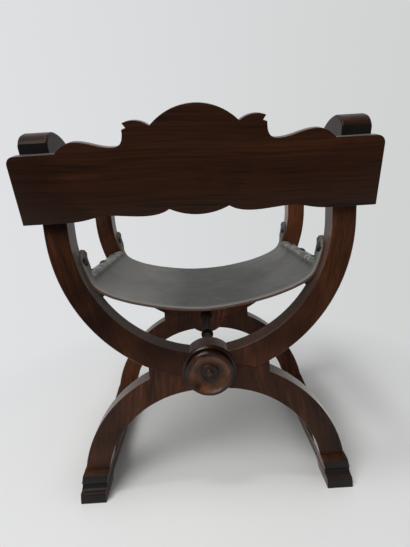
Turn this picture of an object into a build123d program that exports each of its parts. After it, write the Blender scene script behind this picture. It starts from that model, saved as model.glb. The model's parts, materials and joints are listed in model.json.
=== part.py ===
"""Savonarola chair: two folding X-frames on a turned stretcher, with arms, floor runners,
a leather sling seat and a back board that hangs on two pegs.

Millimetres. +X is the sitter's left, +Y the rear, +Z up. The origin is on the floor, midway
between the two frames. A side is 1 (left) or -1 (right), and a face is 1 (rear) or -1 (front).
"""
from build123d import *
from math import asin, cos, degrees, radians, sin, sqrt, tan
import os

os.makedirs("parts", exist_ok=True)

SIDES = {"left": 1, "right": -1}
FACES = {"rear": 1, "front": -1}
STANDING = (Align.CENTER, Align.CENTER, Align.MIN)
HANGING = (Align.CENTER, Align.CENTER, Align.MAX)

# ------------------------------------------------------------------ driving dimensions, in mm
# Frames
FRAME_THICKNESS = 48.0  # depth of every S-member away from the lap
FRAME_SPACING = 378.0  # between the middles of the two frames
HUB_HEIGHT = 319.5  # pivot's axis above the floor
HUB_RADIUS = 62.0  # round boss that each member has at the pivot

# Upper arcs and the uprights that continue them
UPRIGHT_HALF_SPAN = 321.6  # middle of the chair to the uprights' outer edge
UPRIGHT_WIDTH = 49.2
SPRING_HEIGHT = 641.0  # where the arcs run into the straight uprights
ARM_SEAT_HEIGHT = 745.0  # top of the uprights, where the arms lie
ARC_BELOW_PIVOT = 24.3  # lowest point of the arc's outer edge, under the pivot's axis
ARC_ABOVE_PIVOT = 40.1  # lowest point of the arc's inner edge, over the pivot's axis

# Legs
LEG_OUTER_CENTRE_HEIGHT = 22.9
LEG_INNER_CENTRE_HEIGHT = 33.7
LEG_INNER_CENTRE_OUT = 18.3
LEG_ABOVE_PIVOT = 18.8  # highest point of the leg's outer edge
LEG_BELOW_PIVOT = 46.2  # highest point of the leg's inner edge
STOP_WEB_OUT = 136.0  # end of the web that stops the opposite arc
STOP_WEB_DEPTH = 14.0  # how far the web's end is sunk into the leg

# Runners
RUNNER_OVERHANG = 18.0  # foot of the moulded end, beyond the frame's outer face
RUNNER_FOOT_IN = 267.0  # inner bottom edge, from the middle of the chair
RUNNER_FOOT_WIDTH = 60.0
RUNNER_SIDE_BULGE = 3.0
RUNNER_LEDGE = 2.5  # the runner's top stands this far outside the leg
RUNNER_PAD_LENGTH = 75.0
RUNNER_ARCH_HEIGHT = 17.0
RUNNER_ARCH_DIP = 8.0  # how much lower the arch is at mid-span
RUNNER_WAIST = 46.0  # depth of the runner at mid-span
PLINTH_HEIGHT = 22.0
BEAD_HEIGHT = 6.0
BEAD_SETBACK = 3.0  # the bead's root stands this far behind the plinth
COVE_HEIGHT = 23.0
COVE_DEPTH = 8.0
BAND_HEIGHT = 20.0
BAND_SETBACK = 6.0  # the upper band stands this far behind the plinth
LIP_OVERHANG = 3.0  # shadow line over the band
BEVEL_RISE = 6.0  # from the lip to the runner's top

# Tenons and pegs
TENON_WIDTH = 28.0
TENON_THICKNESS = 26.0
ARM_TENON_LENGTH = 36.0
LEG_TENON_LENGTH = 34.0
PEG_RADIUS = 4.5
PEG_PROUD = 1.2
PEG_BEYOND_TENON = 4.0

# Arms
ARM_WIDTH = 56.0
ARM_TOP_RISE = 98.0  # crest of the rear knuckle, over the uprights' tops
ARM_ARRIS_RISE = 73.0  # top of the sloping flat, over them
ARM_SHOULDER_DROP = 6.0
ARM_SHOULDER_BACK = 20.0  # arris to shoulder, level
ARM_SHOULDER_CROWN = 3.0  # how full the surface between them is
ARM_SHOULDER_SLOPE = 0.4  # rise over run where the top leaves the shoulder
ARM_CREST_BEHIND = 18.0  # crest of the rear knuckle, behind the rear frame's middle
ARM_SLOPE_RUN = 78.0  # from the frames' middle to the slopes' half height
ARM_DIP_RISE = 33.0
ARM_SAG = 6.0  # underside's sag between the uprights
ARM_OVERHANG = 72.0  # front of the knuckle, beyond the front frame's face
ARM_KNUCKLE_HEIGHT = 93.0  # front knuckle, from its underside to its crest
ARM_LIP_DROP = 55.0  # how far the sloping flat runs down behind the upright
ARM_EDGE_RADIUS = 4.0

# Back board
BOARD_LEAN = 14.4  # degrees from upright
BOARD_THICKNESS = 21.0
BOARD_BOTTOM_DROP = 77.0  # rear bottom edge, under the uprights' tops
BOARD_STANDOFF = 22.0  # rear bottom edge behind the rear frame's face
BOARD_OVERHANG = 28.4  # each end of the board stands this far outside the upright
BOARD_END_HEIGHT = 131.0
BOARD_CREST_HEIGHT = 202.0
CREST_RADIUS = 114.7
CREST_HALF_WIDTH = 80.0
BOARD_CORNER_RADIUS = 16.0
BOARD_END_TAPER = 2.0
SCROLL_OUT = 223.0  # peak of each scroll
SCROLL_RISE = 18.5  # above the board's ends
SCROLL_SHOULDER = 34.0  # from the peak out to the scroll's foot
SCROLL_FULLNESS = 0.62  # share of the shoulder's run and rise that its arc passes
VALLEY_OUT = 150.0
VALLEY_RISE = 5.5
NOTCH_SWEEP = 20.0  # from the valley in to the notch
NOTCH_RISE = 29.0  # and up to it
NOTCH_DEPTH = 8.0
NOTCH_SKEW = 2.0  # how much the notch's root climbs and its tip leans
TIP_RISE = 10.5
TIP_CROWN = 6.5
LOBE_HALF_WIDTH = 59.0
LOBE_RADIUS = 131.0
LOBE_UP = 2.0
WAVE_START_SLOPE = -0.7  # rise over run where the wave leaves the lobe
WAVE_LOW_OUT = 112.0
WAVE_LOW_UP = 4.4
WAVE_HIGH_OUT = 190.0
WAVE_HIGH_UP = 9.6
WAVE_END_OUT = 262.0
BOARD_PEG_IN = 21.6  # from the uprights' outer edge
BOARD_PEG_UP = 36.0  # from the board's bottom edge, along the board
BOARD_PEG_RADIUS = 7.0
BOARD_PEG_REACH = 12.0  # into the board
BOARD_PEG_ROOT = 16.0  # into the arm and upright
BOARD_SLOT_DEPTH = 13.0
BOARD_SLOT_FLARE = 45.0  # degrees, inner wall of the slot from upright

# Pivot
AXLE_RADIUS = 9.0
NECK_RADIUS = 10.8
RING_RADIUS = 17.0
RING_WIDTH = 15.0
RING_COLLAR_RADIUS = 13.5
RING_COLLAR_WIDTH = 3.0
SHOULDER_RADIUS = 18.0
SHOULDER_COLLAR_WIDTH = 6.0
SHOULDER_FLARE = 24.0
ROUNDEL_FLANGE_RADIUS = 60.0
ROUNDEL_FLANGE_THICKNESS = 5.0
ROUNDEL_COVE_DEPTH = 2.5
ROUNDEL_RIM_RADIUS = 53.0
ROUNDEL_PROJECTION = 18.0
ROUNDEL_RIM_THICKNESS = 6.0
ROUNDEL_RIM_EASE = 2.0
ROUNDEL_DISH_RADIUS = 46.0
ROUNDEL_DISH_DEPTH = 6.0
ROUNDEL_DISH_SAG = 1.25  # how much deeper the dish is halfway to the ring
ROUNDEL_RING_RADIUS = 18.0
ROUNDEL_RING_WIDTH = 4.0
ROUNDEL_SOCKET_DEPTH = 6.0
BUTTON_RADIUS = 8.5
BUTTON_HEIGHT = 4.0
BUTTON_SHANK_RADIUS = 4.0
BUTTON_SHANK_LENGTH = 4.0

# Seat
RAIL_THICKNESS = 26.0
RAIL_TOP_ANGLE = 20.6  # degrees below the arcs' springing, about the inner edge's centre
RAIL_BOTTOM_ANGLE = 31.6
RAIL_TENON_LENGTH = 20.0
RAIL_TENON_SHOULDER = 6.0
RAIL_EDGE_RADIUS = 4.0
LEATHER_THICKNESS = 6.0
LEATHER_OVERHANG = 2.0  # each edge of the leather, beyond the frame's middle
SEAT_HEIGHT = 462.0  # middle of the sling
SEAT_LIFTOFF_ANGLE = 23.2  # where the sling leaves the arcs
SLING_POINT_OUT = 175.0  # a point that the sling's curve passes, out from the middle
SLING_POINT_RISE = 27.0  # and up from it
TAB_TOP_ANGLE = 7.4
TAB_END_RADIUS = 11.0
FOLD_WIDTH = 20.0  # leather turned over the rail's top
TAB_NAIL_ANGLE = 12.9
RAIL_NAIL_SPACING = 110.0
NAIL_HEAD_RADIUS = 10.0
NAIL_HEAD_HEIGHT = 5.5
NAIL_SHANK_RADIUS = 2.5
NAIL_SHANK_LENGTH = 24.0

# Fits
SLIDING_GAP = 0.3  # between pieces that move past each other
NAIL_GAP = 0.45  # under a nail's flat head, where the leather curves towards it
AXLE_CLEARANCE = 0.05
PEG_CLEARANCE = 0.05
ARRIS_CHAMFER = 1.5  # taken off the edges of the members

# ------------------------------------------------------------------ places worked out from them
frame_inner = (FRAME_SPACING - FRAME_THICKNESS) / 2
frame_outer = (FRAME_SPACING + FRAME_THICKNESS) / 2
upright_inner = UPRIGHT_HALF_SPAN - UPRIGHT_WIDTH
upright_middle = UPRIGHT_HALF_SPAN - UPRIGHT_WIDTH / 2
arm_middle = upright_inner + ARM_WIDTH / 2
arm_front_reach = frame_outer + ARM_OVERHANG
arm_top_height = ARM_SEAT_HEIGHT + ARM_TOP_RISE
arm_arris_height = ARM_SEAT_HEIGHT + ARM_ARRIS_RISE
arm_dip_height = ARM_SEAT_HEIGHT + ARM_DIP_RISE
board_half_width = UPRIGHT_HALF_SPAN + BOARD_OVERHANG
board_bottom_height = ARM_SEAT_HEIGHT - BOARD_BOTTOM_DROP
board_peg_out = UPRIGHT_HALF_SPAN - BOARD_PEG_IN
runner_reach = frame_outer + RUNNER_OVERHANG
band_top_height = PLINTH_HEIGHT + BEAD_HEIGHT + COVE_HEIGHT + BAND_HEIGHT
runner_height = band_top_height + LIP_OVERHANG + BEVEL_RISE
leather_half_depth = FRAME_SPACING / 2 + LEATHER_OVERHANG

arc_outer_radius = SPRING_HEIGHT - HUB_HEIGHT + ARC_BELOW_PIVOT
arc_inner_radius = SPRING_HEIGHT - HUB_HEIGHT - ARC_ABOVE_PIVOT
arc_outer_centre = (UPRIGHT_HALF_SPAN - arc_outer_radius, SPRING_HEIGHT)
arc_inner_centre = (upright_inner - arc_inner_radius, SPRING_HEIGHT)

leg_outer_radius = HUB_HEIGHT + LEG_ABOVE_PIVOT - LEG_OUTER_CENTRE_HEIGHT
leg_inner_radius = HUB_HEIGHT - LEG_BELOW_PIVOT - LEG_INNER_CENTRE_HEIGHT
leg_outer_centre = (0.0, LEG_OUTER_CENTRE_HEIGHT)
leg_inner_centre = (LEG_INNER_CENTRE_OUT, LEG_INNER_CENTRE_HEIGHT)


def circle_x(centre, radius, height):
    """How far out a circle's right-hand edge is at a height."""
    return centre[0] + sqrt(radius**2 - (height - centre[1]) ** 2)


leg_foot_outer = circle_x(leg_outer_centre, leg_outer_radius, runner_height)
leg_foot_inner = circle_x(leg_inner_centre, leg_inner_radius, runner_height)
leg_tenon_out = (leg_foot_outer + leg_foot_inner) / 2

axle_bore_radius = AXLE_RADIUS + AXLE_CLEARANCE
pivot_axis = Axis((0, 0, HUB_HEIGHT), (0, 1, 0))
arm_peg_height = ARM_SEAT_HEIGHT + ARM_TENON_LENGTH / 2
leg_peg_height = runner_height - LEG_TENON_LENGTH / 2

# The board's rear face. Local x is the chair's X, local y runs up the slope, and the normal
# points forwards into the board.
board_plane = Plane(
    origin=(0, frame_outer + BOARD_STANDOFF, board_bottom_height),
    x_dir=(1, 0, 0),
    z_dir=(0, -cos(radians(BOARD_LEAN)), sin(radians(BOARD_LEAN))),
)
arm_flat_plane = board_plane.offset(BOARD_THICKNESS + SLIDING_GAP)


def arm_flat_depth(height):
    """Y of the arms' sloping flat, parallel to the board and clear of it."""
    from_rear_face = (BOARD_THICKNESS + SLIDING_GAP) / cos(radians(BOARD_LEAN))
    rise = (height - board_bottom_height) * tan(radians(BOARD_LEAN))
    return frame_outer + BOARD_STANDOFF + rise - from_rear_face


# Layers of the seat, as radii about the arcs' inner centre
leather_middle_radius = arc_inner_radius - SLIDING_GAP - LEATHER_THICKNESS / 2
nail_seat_radius = arc_inner_radius - SLIDING_GAP - LEATHER_THICKNESS - NAIL_GAP
nail_hole_radius = NAIL_SHANK_RADIUS + PEG_CLEARANCE
nail_hole_depth = NAIL_SHANK_LENGTH
tab_depth = (frame_inner + leather_half_depth) / 2
rail_nail_depths = [step * RAIL_NAIL_SPACING for step in (-1, 0, 1)]


def arc_point(side, radius, angle):
    """Point at an angle below the springing about the arcs' inner centre, in X and Z."""
    turn = radians(angle)
    out = arc_inner_centre[0] + radius * cos(turn)
    return (side * out, SPRING_HEIGHT - radius * sin(turn))


def tab_nail_plane(side, face):
    """Under the head of a tab's nail, with the normal into the wood."""
    out, height = arc_point(side, nail_seat_radius, TAB_NAIL_ANGLE)
    turn = radians(TAB_NAIL_ANGLE)
    normal = (side * cos(turn), 0, -sin(turn))
    return Plane(origin=(out, face * tab_depth, height), x_dir=(0, 1, 0), z_dir=normal)


def rail_nail_plane(side, depth):
    """Under the head of a nail on the rail's top, with the normal into the wood."""
    turn = radians(RAIL_TOP_ANGLE)
    out, height = arc_point(side, arc_inner_radius + RAIL_THICKNESS / 2, RAIL_TOP_ANGLE)
    lift = SLIDING_GAP + LEATHER_THICKNESS + NAIL_GAP
    origin = (out + side * lift * sin(turn), depth, height + lift * cos(turn))
    normal = (-side * sin(turn), 0, -cos(turn))
    return Plane(origin=origin, x_dir=(0, 1, 0), z_dir=normal)


# ------------------------------------------------------------------ shared operations
def slab(outline, depth_a, depth_b, mode=Mode.ADD):
    """Thickens an outline drawn in X and Z between two depths along Y."""
    rear = max(depth_a, depth_b)
    with BuildSketch(Plane(origin=(0, rear, 0), x_dir=(1, 0, 0), z_dir=(0, -1, 0))) as face:
        add(outline)
    extrude(face.sketch, amount=abs(depth_a - depth_b), mode=mode)


def side_plane(out):
    """Plane seen from the side: local x is the chair's Y and local y its Z."""
    return Plane(origin=(out, 0, 0), x_dir=(0, 1, 0), z_dir=(1, 0, 0))


def cross_rod(radius, out_a, out_b, depth, height, mode=Mode.ADD):
    """Round rod, or hole, along X."""
    with Locations(Location(((out_a + out_b) / 2, depth, height), (0, 90, 0))):
        Cylinder(radius, abs(out_a - out_b), mode=mode)


def arm_tenon(side, face, mode=Mode.ADD):
    """Tenon on an upright's top, or its mortise in the arm."""
    with Locations((side * upright_middle, face * FRAME_SPACING / 2, ARM_SEAT_HEIGHT)):
        Box(TENON_WIDTH, TENON_THICKNESS, ARM_TENON_LENGTH, align=STANDING, mode=mode)


def leg_tenon(side, face, mode=Mode.ADD):
    """Tenon under a leg, or its mortise in the runner."""
    with Locations((side * leg_tenon_out, face * FRAME_SPACING / 2, runner_height)):
        Box(TENON_WIDTH, TENON_THICKNESS, LEG_TENON_LENGTH, align=HANGING, mode=mode)


def tenon_peg(side, face, out, height, surface, radius, mode=Mode.ADD):
    """Peg, or its hole, from a surface through a tenon and a little way beyond it."""
    blind_end = side * (out - TENON_WIDTH / 2 - PEG_BEYOND_TENON)
    cross_rod(radius, blind_end, side * surface, face * FRAME_SPACING / 2, height, mode)


def arm_peg(side, face, radius, proud=0.0, mode=Mode.ADD):
    """Drawbore peg, or its hole, through the arm and the upright's tenon."""
    surface = arm_middle + ARM_WIDTH / 2 + proud
    tenon_peg(side, face, upright_middle, arm_peg_height, surface, radius, mode)


def runner_peg(side, face, radius, proud=0.0, mode=Mode.ADD):
    """Drawbore peg, or its hole, through the runner and the leg's tenon."""
    surface = runner_side(leg_peg_height) + proud
    tenon_peg(side, face, leg_tenon_out, leg_peg_height, surface, radius, mode)


def board_peg(side, radius, reach, mode=Mode.ADD):
    """Peg that the board hangs on, or its hole, out of the arm's flat by a reach."""
    with BuildSketch(arm_flat_plane.offset(-reach)) as section:
        with Locations((side * board_peg_out, BOARD_PEG_UP)):
            Circle(radius)
    extrude(section.sketch, amount=reach + BOARD_PEG_ROOT, mode=mode)


def crescent(side, outer_centre, outer_radius, inner_centre, inner_radius, low, high):
    """Curved bar between two circles, on one side of the chair and from low to high."""
    reach = 2 * UPRIGHT_HALF_SPAN
    with BuildSketch() as bar:
        with Locations((side * outer_centre[0], outer_centre[1])):
            Circle(outer_radius)
        with Locations((side * inner_centre[0], inner_centre[1])):
            Circle(inner_radius, mode=Mode.SUBTRACT)
        with Locations((side * reach / 2, (low + high) / 2)):
            Rectangle(reach, high - low, mode=Mode.INTERSECT)
    return bar.sketch


def save(piece, name):
    """Labels a finished piece and writes its STEP file."""
    piece.part.label = name
    export_step(piece.part, f"parts/{name}.step")


# ------------------------------------------------------------------ S-members
def upper_arc(side, grow=0.0):
    """The arc that rises from the hub to the upright on a side."""
    low = HUB_HEIGHT - HUB_RADIUS
    outer = arc_outer_radius + grow
    inner = arc_inner_radius - grow
    return crescent(side, arc_outer_centre, outer, arc_inner_centre, inner, low, SPRING_HEIGHT)


def leg_arc(side, grow=0.0):
    """The leg that falls from the hub to the runner on a side."""
    high = HUB_HEIGHT + HUB_RADIUS
    outer = leg_outer_radius + grow
    inner = leg_inner_radius - grow
    return crescent(side, leg_outer_centre, outer, leg_inner_centre, inner, runner_height, high)


def member_outline(side, grow=0.0):
    """An S-member from behind: arc and upright on its side, hub, and leg on the other side."""
    with BuildSketch() as outline:
        add(upper_arc(side, grow))
        add(leg_arc(-side, grow))
        with Locations((side * upright_middle, (SPRING_HEIGHT + ARM_SEAT_HEIGHT) / 2)):
            Rectangle(UPRIGHT_WIDTH + 2 * grow, ARM_SEAT_HEIGHT - SPRING_HEIGHT)
        with Locations((0, HUB_HEIGHT)):
            Circle(HUB_RADIUS + grow)
    return outline.sketch


def stop_web(side):
    """Web over the leg that fills the notch beside the hub, up to the opposite arc's edge."""
    leg_top = LEG_OUTER_CENTRE_HEIGHT + sqrt(leg_outer_radius**2 - STOP_WEB_OUT**2)
    low = leg_top - STOP_WEB_DEPTH
    high = HUB_HEIGHT + HUB_RADIUS / 2
    with BuildSketch() as web:
        with Locations((-side * STOP_WEB_OUT / 2, (low + high) / 2)):
            Rectangle(STOP_WEB_OUT, high - low)
        with Locations((-side * arc_outer_centre[0], arc_outer_centre[1])):
            Circle(arc_outer_radius + SLIDING_GAP, mode=Mode.SUBTRACT)
    return web.sketch


def axle_bore():
    """The hole for the axle."""
    with BuildSketch() as bore:
        with Locations((0, HUB_HEIGHT)):
            Circle(axle_bore_radius)
    return bore.sketch


def member_blank():
    """The left S-member at full thickness, its arrises taken off, before the lap is cut."""
    with BuildPart() as blank:
        slab(member_outline(1), -FRAME_THICKNESS / 2, FRAME_THICKNESS / 2)
        ends = blank.edges().group_by(Axis.Z)
        arrises = blank.edges().filter_by(Axis.Y, reverse=True)
        chamfer(arrises - ends[0] - ends[-1], length=ARRIS_CHAMFER)
    return blank.part


left_blank = member_blank()
blanks = {1: left_blank, -1: left_blank.mirror(Plane.YZ)}


def rear_member(side):
    """One rear S-member. At the lap the left one keeps the frame's outer half, the right the inner."""
    face = FACES["rear"]
    middle = FRAME_SPACING / 2
    outside = frame_outer
    inside = frame_inner
    lap_face = middle + side * SLIDING_GAP / 2
    removed_face = inside if side == 1 else outside
    with BuildPart() as member:
        with Locations((0, middle, 0)):
            add(blanks[side])
        slab(stop_web(side), inside, outside)
        slab(member_outline(-side, SLIDING_GAP), lap_face, removed_face, Mode.SUBTRACT)
        slab(axle_bore(), inside, outside, Mode.SUBTRACT)

        arm_tenon(side, face)
        leg_tenon(-side, face)
        arm_peg(side, face, PEG_RADIUS + PEG_CLEARANCE, mode=Mode.SUBTRACT)
        runner_peg(-side, face, PEG_RADIUS + PEG_CLEARANCE, mode=Mode.SUBTRACT)

        # the seat rail's mortise and the hole for the tab's nail
        rail_tenon = rail_section(side, RAIL_TENON_SHOULDER)
        slab(rail_tenon, inside, inside + RAIL_TENON_LENGTH, Mode.SUBTRACT)
        with Locations(tab_nail_plane(side, face)):
            Cylinder(nail_hole_radius, nail_hole_depth, align=STANDING, mode=Mode.SUBTRACT)
    return member


def s_member(side, face):
    """One S-member. A front one is a rear one mirrored, and only the rear ones take a board's peg."""
    with BuildPart() as member:
        add(rear_member(side))
        if face == FACES["rear"]:
            board_peg(side, BOARD_PEG_RADIUS + PEG_CLEARANCE, 0, Mode.SUBTRACT)
        else:
            mirror(about=Plane.XZ, mode=Mode.REPLACE)
    return member


# ------------------------------------------------------------------ runners
def runner_side(height):
    """How far out the runner's bulging outer side is at a height."""
    share = height / runner_height
    foot = RUNNER_FOOT_IN + RUNNER_FOOT_WIDTH
    straight = foot + share * (leg_foot_outer + RUNNER_LEDGE - foot)
    return straight + RUNNER_SIDE_BULGE * (1 - (2 * share - 1) ** 2)


def runner_section(side):
    """The runner across: both sides carry on the legs' curve down to the floor."""
    with BuildSketch(Plane(origin=(0, runner_reach, 0), x_dir=(1, 0, 0), z_dir=(0, -1, 0))) as section:
        with BuildLine():
            foot_in = (side * RUNNER_FOOT_IN, 0)
            foot_out = (side * (RUNNER_FOOT_IN + RUNNER_FOOT_WIDTH), 0)
            top_in = (side * leg_foot_inner, runner_height)
            top_out = (side * (leg_foot_outer + RUNNER_LEDGE), runner_height)
            for foot, top in ((foot_in, top_in), (foot_out, top_out)):
                bulge = ((foot[0] + top[0]) / 2 + side * RUNNER_SIDE_BULGE, runner_height / 2)
                ThreePointArc(foot, bulge, top)
            Line(foot_in, foot_out)
            Line(top_in, top_out)
        make_face()
    return section.sketch


def runner_profile(side):
    """The runner from the side: moulded ends, scooped top and arched underside."""
    band_reach = runner_reach - BAND_SETBACK
    lip_reach = band_reach + LIP_OVERHANG
    bead_bottom = (runner_reach - BEAD_SETBACK, PLINTH_HEIGHT)
    bead_top = (runner_reach - BEAD_SETBACK, PLINTH_HEIGHT + BEAD_HEIGHT)
    bead_nose = (runner_reach - BEAD_SETBACK + BEAD_HEIGHT / 2, PLINTH_HEIGHT + BEAD_HEIGHT / 2)
    cove_top = (band_reach, PLINTH_HEIGHT + BEAD_HEIGHT + COVE_HEIGHT)
    cove_throat = (band_reach - COVE_DEPTH, PLINTH_HEIGHT + BEAD_HEIGHT + COVE_HEIGHT / 2)
    band_top = (band_reach, band_top_height)
    pad_end = runner_reach - RUNNER_PAD_LENGTH
    arch_shoulder = (pad_end - RUNNER_ARCH_HEIGHT, RUNNER_ARCH_HEIGHT)
    arch_middle = (0, RUNNER_ARCH_HEIGHT - RUNNER_ARCH_DIP)
    top_middle = (0, arch_middle[1] + RUNNER_WAIST)
    with BuildSketch(side_plane(side * RUNNER_FOOT_IN)) as profile:
        with BuildLine():
            Polyline((pad_end, 0), (runner_reach, 0), (runner_reach, PLINTH_HEIGHT), bead_bottom)
            ThreePointArc(bead_bottom, bead_nose, bead_top)
            ThreePointArc(bead_top, cove_throat, cove_top)
            Polyline(
                cove_top,
                band_top,
                (lip_reach, band_top[1] + LIP_OVERHANG / 2),
                (lip_reach, band_top[1] + LIP_OVERHANG),
                (frame_outer, runner_height),
                (frame_inner, runner_height),
            )
            Spline((frame_inner, runner_height), top_middle, tangents=((-1, -1), (-1, 0)))
            RadiusArc((pad_end, 0), arch_shoulder, -RUNNER_ARCH_HEIGHT)
            Spline(arch_shoulder, arch_middle, tangents=((-1, 0), (-1, 0)))
            mirror(about=Plane.YZ)
        make_face()
    return profile.sketch


def runner(side):
    """Floor runner under the two legs of one side."""
    with BuildPart() as bar:
        extrude(runner_section(side), amount=2 * runner_reach)
        extrude(runner_profile(side), amount=runner_height, both=True, mode=Mode.INTERSECT)
        for face in FACES.values():
            leg_tenon(side, face, Mode.SUBTRACT)
            runner_peg(side, face, PEG_RADIUS + PEG_CLEARANCE, PEG_RADIUS, Mode.SUBTRACT)
    return bar


# ------------------------------------------------------------------ arms
def arm_profile(side):
    """The arm from the side: sloping flat and lip behind, dipped top, round knuckle in front."""
    lip_height = ARM_SEAT_HEIGHT - ARM_LIP_DROP
    arris = (arm_flat_depth(arm_arris_height), arm_arris_height)
    shoulder = (arris[0] - ARM_SHOULDER_BACK, arm_top_height - ARM_SHOULDER_DROP)
    crest = (FRAME_SPACING / 2 + ARM_CREST_BEHIND, arm_top_height)
    crown = ARM_SHOULDER_CROWN / sqrt(2)
    shoulder_crown = ((arris[0] + shoulder[0]) / 2 + crown, (arris[1] + shoulder[1]) / 2 + crown)
    knuckle_radius = ARM_KNUCKLE_HEIGHT / 2
    knuckle_depth = knuckle_radius - arm_front_reach
    front_crest = (knuckle_depth, ARM_SEAT_HEIGHT + ARM_KNUCKLE_HEIGHT)
    front_nose = (-arm_front_reach, ARM_SEAT_HEIGHT + knuckle_radius)
    front_chin = (knuckle_depth, ARM_SEAT_HEIGHT)
    rear_slope = (FRAME_SPACING / 2 - ARM_SLOPE_RUN, (arm_top_height + arm_dip_height) / 2)
    front_slope = (ARM_SLOPE_RUN - FRAME_SPACING / 2, (front_crest[1] + arm_dip_height) / 2)
    with BuildSketch(side_plane(side * arm_middle)) as profile:
        with BuildLine():
            Polyline(
                (frame_outer, ARM_SEAT_HEIGHT),
                (frame_outer, lip_height),
                (arm_flat_depth(lip_height), lip_height),
                arris,
            )
            ThreePointArc(arris, shoulder_crown, shoulder)
            Spline(shoulder, crest, tangents=((-1, ARM_SHOULDER_SLOPE), (-1, 0)))
            Spline(
                crest,
                rear_slope,
                (0, arm_dip_height),
                front_slope,
                front_crest,
                tangents=((-1, 0), (-1, 0)),
            )
            ThreePointArc(front_crest, front_nose, front_chin)
            Line(front_chin, (-frame_inner, ARM_SEAT_HEIGHT))
            ThreePointArc(
                (-frame_inner, ARM_SEAT_HEIGHT),
                (0, ARM_SEAT_HEIGHT - ARM_SAG),
                (frame_inner, ARM_SEAT_HEIGHT),
            )
            Line((frame_inner, ARM_SEAT_HEIGHT), (frame_outer, ARM_SEAT_HEIGHT))
        make_face()
    return profile.sketch


def is_handled(edge):
    """True on the arrises that a hand meets: the top, the front knuckle and the rear slope."""
    place = edge.center()
    above_underside = place.Z > ARM_SEAT_HEIGHT + ARM_SAG
    return above_underside and (place.Y < frame_inner or place.Z > arm_arris_height)


def arm(side):
    """Arm of one side, mortised for its two uprights."""
    with BuildPart() as piece:
        extrude(arm_profile(side), amount=ARM_WIDTH / 2, both=True)
        fillet(piece.edges().filter_by(Axis.X, reverse=True).filter_by(is_handled), ARM_EDGE_RADIUS)
        for face in FACES.values():
            arm_tenon(side, face, Mode.SUBTRACT)
            arm_peg(side, face, PEG_RADIUS + PEG_CLEARANCE, PEG_RADIUS, Mode.SUBTRACT)
        board_peg(side, BOARD_PEG_RADIUS + PEG_CLEARANCE, 0, Mode.SUBTRACT)
    return piece


# ------------------------------------------------------------------ pegs
def arm_pegs(side):
    """The two pegs that hold an arm on its uprights."""
    with BuildPart() as pegs:
        for face in FACES.values():
            arm_peg(side, face, PEG_RADIUS, PEG_PROUD)
        chamfer(pegs.faces().filter_by(Axis.X).edges(), length=PEG_PROUD / 2)
    return pegs


def runner_pegs(side):
    """The two pegs that hold the legs in a runner."""
    with BuildPart() as pegs:
        for face in FACES.values():
            runner_peg(side, face, PEG_RADIUS, PEG_PROUD)
        chamfer(pegs.faces().filter_by(Axis.X).edges(), length=PEG_PROUD / 2)
    return pegs


def board_hanging_peg(side):
    """The peg on the arm's flat that a slot of the board drops over."""
    with BuildPart() as peg:
        board_peg(side, BOARD_PEG_RADIUS, BOARD_PEG_REACH)
        chamfer(peg.edges().group_by(Axis.Y)[-1], length=PEG_PROUD)
    return peg


# ------------------------------------------------------------------ seat rails, leather and nails
def arc_angle(side, angle):
    """Sketch angle of a point on a side's arc that lies an angle below the springing."""
    return -angle if side == 1 else 180 + angle


def rail_section(side, inset=0.0):
    """A seat rail's section, curved with the arcs' inner edge, smaller all round by an inset."""
    inner = arc_inner_radius + inset
    outer = arc_inner_radius + RAIL_THICKNESS - inset
    top = RAIL_TOP_ANGLE + degrees(inset / inner)
    bottom = RAIL_BOTTOM_ANGLE - degrees(inset / inner)
    centre = (side * arc_inner_centre[0], SPRING_HEIGHT)
    with BuildSketch() as section:
        with BuildLine():
            for radius in (inner, outer):
                CenterArc(centre, radius, arc_angle(side, top), side * (top - bottom))
            for angle in (top, bottom):
                Line(arc_point(side, inner, angle), arc_point(side, outer, angle))
        make_face()
    return section.sketch


def seat_rail(side):
    """Rail between the frames, tenoned into the arcs, with its top inner edge rounded."""
    with BuildPart() as rail:
        slab(rail_section(side), -frame_inner, frame_inner)
        top_inner_edge = rail.edges().filter_by(Axis.Y).sort_by(Axis.Z)[-1]
        fillet(top_inner_edge, radius=RAIL_EDGE_RADIUS)
        tenon_end = frame_inner + RAIL_TENON_LENGTH
        slab(rail_section(side, RAIL_TENON_SHOULDER), -tenon_end, tenon_end)
        with Locations([rail_nail_plane(side, depth) for depth in rail_nail_depths]):
            Cylinder(nail_hole_radius, nail_hole_depth, align=STANDING, mode=Mode.SUBTRACT)
    return rail


def seat_line(over_frames):
    """Middle of the leather's thickness from the sling's middle up the left side.

    Over the frames it runs up the arcs as tabs, and between them it folds over the rails.
    """
    lift_off = radians(SEAT_LIFTOFF_ANGLE)
    start = arc_point(1, leather_middle_radius, SEAT_LIFTOFF_ANGLE)
    Spline(
        (0, SEAT_HEIGHT),
        (SLING_POINT_OUT, SEAT_HEIGHT + SLING_POINT_RISE),
        start,
        tangents=((1, 0), (sin(lift_off), cos(lift_off))),
    )
    if over_frames:
        sweep_up = SEAT_LIFTOFF_ANGLE - TAB_TOP_ANGLE
        CenterArc(arc_inner_centre, leather_middle_radius, -SEAT_LIFTOFF_ANGLE, sweep_up)
        return
    # the corner is struck about the centre of the rail's rounded edge
    edge_centre_radius = arc_inner_radius + RAIL_EDGE_RADIUS
    edge_angle = RAIL_TOP_ANGLE + degrees(asin(RAIL_EDGE_RADIUS / edge_centre_radius))
    CenterArc(
        arc_inner_centre, leather_middle_radius, -SEAT_LIFTOFF_ANGLE, SEAT_LIFTOFF_ANGLE - edge_angle
    )
    corner = CenterArc(
        arc_point(1, edge_centre_radius, edge_angle),
        edge_centre_radius - leather_middle_radius,
        180 - edge_angle,
        edge_angle - RAIL_TOP_ANGLE - 90,
    )
    turn = radians(RAIL_TOP_ANGLE)
    fold = Vector(cos(turn), -sin(turn)) * FOLD_WIDTH
    Line(corner @ 1, corner @ 1 + fold)


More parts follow.
